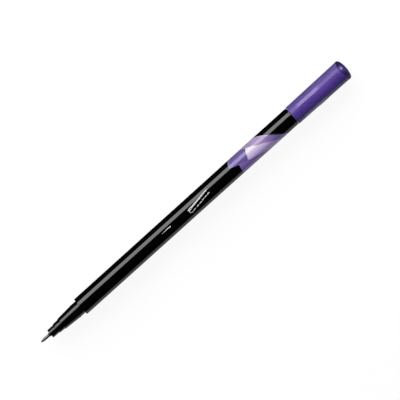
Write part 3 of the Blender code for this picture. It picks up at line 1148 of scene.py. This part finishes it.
def through(points, per=6):
    """A smooth line (Catmull-Rom) through a few (t, k) points."""
    v = [Vector(p) for p in points]
    v = [2 * v[0] - v[1]] + v + [2 * v[-1] - v[-2]]
    made = []
    for a, b, c, d in zip(v, v[1:], v[2:], v[3:]):
        for i in range(per):
            f = i / per
            q = 0.5 * (
                2 * b + (c - a) * f + (2 * a - 5 * b + 4 * c - d) * f**2 + (3 * b - a - 3 * c + d) * f**3
            )
            made.append((q.x, q.y))
    made.append(tuple(v[-2]))
    return made


white_ink = print_ink("white_ink", even((0.62, 0.62, 0.61)))


def mark(name, outline, lift=0.012, holes=()):
    return dress(decal(name, outline, lift, holes=holes, depth=0.018, step=5.0), white_ink)


def needle_at(x, y):
    """The needle's own frame: it lies a little across the barrel."""
    a = radians(-8.0)
    return at(-6.5 + x * cos(a) - y * sin(a), -0.9 + x * sin(a) + y * cos(a))


half_needle = [
    (-14.6, 0.30),
    (-14.3, 0.72),
    (-13.6, 1.05),
    (-12.4, 1.18),
    (-10.9, 1.12),
    (-9.6, 0.92),
    (-8.0, 0.82),
    (0.0, 0.70),
    (7.0, 0.54),
    (11.0, 0.38),
    (13.6, 0.20),
    (14.8, 0.06),
]
half_eye = [(-13.5, 0.12), (-13.2, 0.34), (-12.4, 0.44), (-11.2, 0.42), (-10.4, 0.32), (-10.1, 0.12)]
mark(
    "mark_needle",
    [needle_at(x, y) for x, y in half_needle] + [needle_at(x, -y) for x, y in reversed(half_needle)],
    holes=([needle_at(x, y) for x, y in half_eye] + [needle_at(x, -y) for x, y in reversed(half_eye)],),
)
thread = through([(-18.3, 0.75), (-20.3, 2.0), (-20.2, 3.9), (-17.8, 4.6), (-15.2, 4.0), (-13.2, 3.7)])
mark("mark_thread", ribbon(thread, [0.72] * len(thread)), lift=0.0145)
for i in range(5):
    t = -11.2 + 3.95 * i
    k = 3.55 - 0.14 * (t + 11.2)
    mark("mark_stitch_%d" % (i + 1), ribbon([(t, k), (t + 2.45, k - 0.34)], [0.85, 0.85]))
mark("mark_tip_width", ribbon([(-55.3, 0.4), (-50.0, 0.4), (-44.6, 0.4)], [0.28, 0.66, 1.05]))

# ====================================================================== studio
TOWARD = Vector((0.0, sin(CAMERA_ROLL), cos(CAMERA_ROLL)))  # from the pen to the camera
UP_LEFT = Vector((0.0, cos(CAMERA_ROLL), -sin(CAMERA_ROLL)))  # square to it and to the pen
SPIN = radians(42.04)  # the pen's slope in the picture
right = Vector((1.0, 0.0, 0.0)) * cos(SPIN) - UP_LEFT * sin(SPIN)
up = Vector((1.0, 0.0, 0.0)) * sin(SPIN) + UP_LEFT * cos(SPIN)

camera_data = bpy.data.cameras.new("camera")
camera_data.type = "PERSP"
camera_data.lens = 400.0
camera_data.sensor_width = 36.0
camera_data.clip_start = 0.05
camera_data.clip_end = 500.0
camera = bpy.data.objects.new("camera", camera_data)
stage.objects.link(camera)
DISTANCE = 0.160 * 400.0 / 36.0
aim = Vector((X(85.19), 0.0, AXIS_Z)) - UP_LEFT * 0.286 * MM
turn = Matrix((right, up, TOWARD)).transposed()
camera.matrix_world = Matrix.Translation(aim + TOWARD * DISTANCE) @ turn.to_4x4()
scene.camera = camera

# floor: pale and even; the pen's gloss doesn't pick it up, as on a black-flagged product table
floor_mesh = bpy.data.meshes.new("floor")
bm = bmesh.new()
bmesh.ops.create_grid(bm, x_segments=1, y_segments=1, size=60.0)
bm.to_mesh(floor_mesh)
bm.free()
floor = bpy.data.objects.new("floor", floor_mesh)
stage.objects.link(floor)
floor.visible_glossy = False
floor.visible_diffuse = False
f = Nodes("floor_paper")
paper = f.noise(900.0, 3.0, 0.6)
f.set(color=f.mix(f.remap(paper, 0.3, 0.7, 0.0, 1.0), (0.165, 0.165, 0.165), (0.175, 0.175, 0.175)), rough=0.9)
f.bsdf.inputs["Specular IOR Level"].default_value = 0.0
f.bsdf.inputs["Emission Color"].default_value = (1.0, 1.0, 1.0, 1.0)
far = f.new("ShaderNodeVectorMath", operation="LENGTH")
f.link(f.coords, far.inputs[0])
f.feed(f.bsdf.inputs["Emission Strength"], f.remap(far.outputs["Value"], 0.25, 1.1, 0.90, 1.0, smooth=True))
floor.data.materials.append(f.mat)


def direction(beta):
    """Unit vector at beta degrees from straight up, towards +Y."""
    return Vector((0.0, sin(radians(beta)), cos(radians(beta))))


def softbox(name, beta, height_deg, length, distance, radiance, x=0.0, gloss_only=False):
    light = bpy.data.lights.new(name, "AREA")
    light.shape = "RECTANGLE"
    light.size = length
    light.size_y = 2.0 * distance * tan(radians(height_deg / 2.0))
    light.energy = radiance * pi * light.size * light.size_y
    obj = bpy.data.objects.new(name, light)
    stage.objects.link(obj)
    z = direction(beta)
    x_axis = Vector((1.0, 0.0, 0.0))
    y_axis = z.cross(x_axis)
    obj.matrix_world = (
        Matrix.Translation(Vector((x, 0.0, AXIS_Z)) + z * distance)
        @ Matrix((x_axis, y_axis, z)).transposed().to_4x4()
    )
    obj.visible_camera = False
    obj.visible_diffuse = not gloss_only
    return obj


roll = degrees(CAMERA_ROLL)
softbox("key_softbox", roll + 44.2, 40.3, 1.06, 0.70, 4.8, x=0.12)
# its two wings only show in the gloss: on slopes and domes, and on the barrel seen from its ends
softbox("key_wing_tip", roll + 44.2, 40.3, 0.95, 0.70, 3.3, x=-0.885, gloss_only=True)
softbox("key_wing_cap", roll + 44.2, 40.3, 1.15, 0.70, 4.8, x=1.225, gloss_only=True)


def card(name, stops, radius, length, steps=30):
    """A curved card round the pen, seen only in the gloss. stops: (angle from straight up, radiance)."""
    bm = bmesh.new()
    glow = bm.verts.layers.float.new("glow")
    rows = []
    for i in range(steps + 1):
        beta = stops[0][0] + (stops[-1][0] - stops[0][0]) * i / steps
        for (b0, r0), (b1, r1) in zip(stops, stops[1:]):
            f = (beta - b0) / (b1 - b0)
            if -1e-6 <= f <= 1.0 + 1e-6:
                radiance = r0 + (r1 - r0) * f
        d = direction(beta) * radius
        row = [bm.verts.new((x, d.y, AXIS_Z + d.z)) for x in (-length / 2.0, length / 2.0)]
        for v in row:
            v[glow] = radiance
        rows.append(row)
    for a, b in zip(rows, rows[1:]):
        bm.faces.new((a[0], a[1], b[1], b[0]))
    mesh = bpy.data.meshes.new(name)
    bm.to_mesh(mesh)
    bm.free()
    obj = bpy.data.objects.new(name, mesh)
    stage.objects.link(obj)
    mat = bpy.data.materials.new(name)
    mat.use_nodes = True
    tree = mat.node_tree
    tree.nodes.remove(tree.nodes["Principled BSDF"])
    emit = tree.nodes.new("ShaderNodeEmission")
    strength = tree.nodes.new("ShaderNodeAttribute")
    strength.attribute_name = "glow"
    tree.links.new(strength.outputs["Fac"], emit.inputs["Strength"])
    tree.links.new(emit.outputs[0], tree.nodes["Material Output"].inputs["Surface"])
    obj.data.materials.append(mat)
    obj.visible_camera = False
    obj.visible_diffuse = False
    obj.visible_transmission = False
    obj.visible_shadow = False
    return obj


card(
    "low_card",
    [
        (roll - 95.5, 0.95),
        (roll - 108.0, 0.92),
        (roll - 120.0, 0.66),
        (roll - 132.0, 0.46),
        (roll - 150.0, 0.34),
        (roll - 172.0, 0.30),
    ],
    0.5,
    1.6,
)

# a small card past the cap's end, for the line of light round its dome
end = softbox("end_card", 0.0, 20.0, 0.12, 0.6, 7.0)
end_from = Vector((1.0, 0.0, 0.0)) - UP_LEFT * 0.26 - TOWARD * 0.06
end_z = end_from.normalized()
end_y = TOWARD
end_x = end_y.cross(end_z).normalized()
end_y = end_z.cross(end_x)
end.matrix_world = (
    Matrix.Translation(Vector((X(164.0), 0.0, AXIS_Z)) + end_z * 0.5)
    @ Matrix((end_x, end_y, end_z)).transposed().to_4x4()
)
end.visible_diffuse = False

world = bpy.data.worlds.new("studio")
scene.world = world
world.use_nodes = True
tree = world.node_tree
background = tree.nodes["Background"]
path = tree.nodes.new("ShaderNodeLightPath")


def chain(value, amount):
    node = tree.nodes.new("ShaderNodeMath")
    node.operation = "MULTIPLY"
    tree.links.new(value, node.inputs[0])
    node.inputs[1].default_value = amount
    return node.outputs[0]


def total(a, b):
    node = tree.nodes.new("ShaderNodeMath")
    node.operation = "ADD"
    tree.links.new(a, node.inputs[0])
    tree.links.new(b, node.inputs[1])
    return node.outputs[0]


AMBIENT = 0.225
FILL = 2.2  # soft bounce on the side turned away from the key, strongest from low on -Y
sky = tree.nodes.new("ShaderNodeTexCoord")
facing = tree.nodes.new("ShaderNodeVectorMath")
facing.operation = "DOT_PRODUCT"
tree.links.new(sky.outputs["Generated"], facing.inputs[0])
facing.inputs[1].default_value = direction(-125.0)
inner = tree.nodes.new("ShaderNodeMath")
inner.operation = "SUBTRACT"
tree.links.new(facing.outputs["Value"], inner.inputs[0])
inner.inputs[1].default_value = 0.35
bounce = tree.nodes.new("ShaderNodeMath")
bounce.operation = "MAXIMUM"
tree.links.new(inner.outputs[0], bounce.inputs[0])
bounce.inputs[1].default_value = 0.0
around = tree.nodes.new("ShaderNodeMath")
around.operation = "MULTIPLY_ADD"
tree.links.new(bounce.outputs[0], around.inputs[0])
around.inputs[1].default_value = FILL
around.inputs[2].default_value = AMBIENT
diffuse_sky = tree.nodes.new("ShaderNodeMath")
diffuse_sky.operation = "MULTIPLY"
tree.links.new(around.outputs[0], diffuse_sky.inputs[0])
tree.links.new(path.outputs["Is Diffuse Ray"], diffuse_sky.inputs[1])
strength = total(
    total(chain(path.outputs["Is Camera Ray"], 1.0), diffuse_sky.outputs[0]),
    total(chain(path.outputs["Is Glossy Ray"], 0.0), chain(path.outputs["Is Transmission Ray"], 0.8)),
)
background.inputs["Color"].default_value = (1.0, 1.0, 1.0, 1.0)
tree.links.new(strength, background.inputs["Strength"])
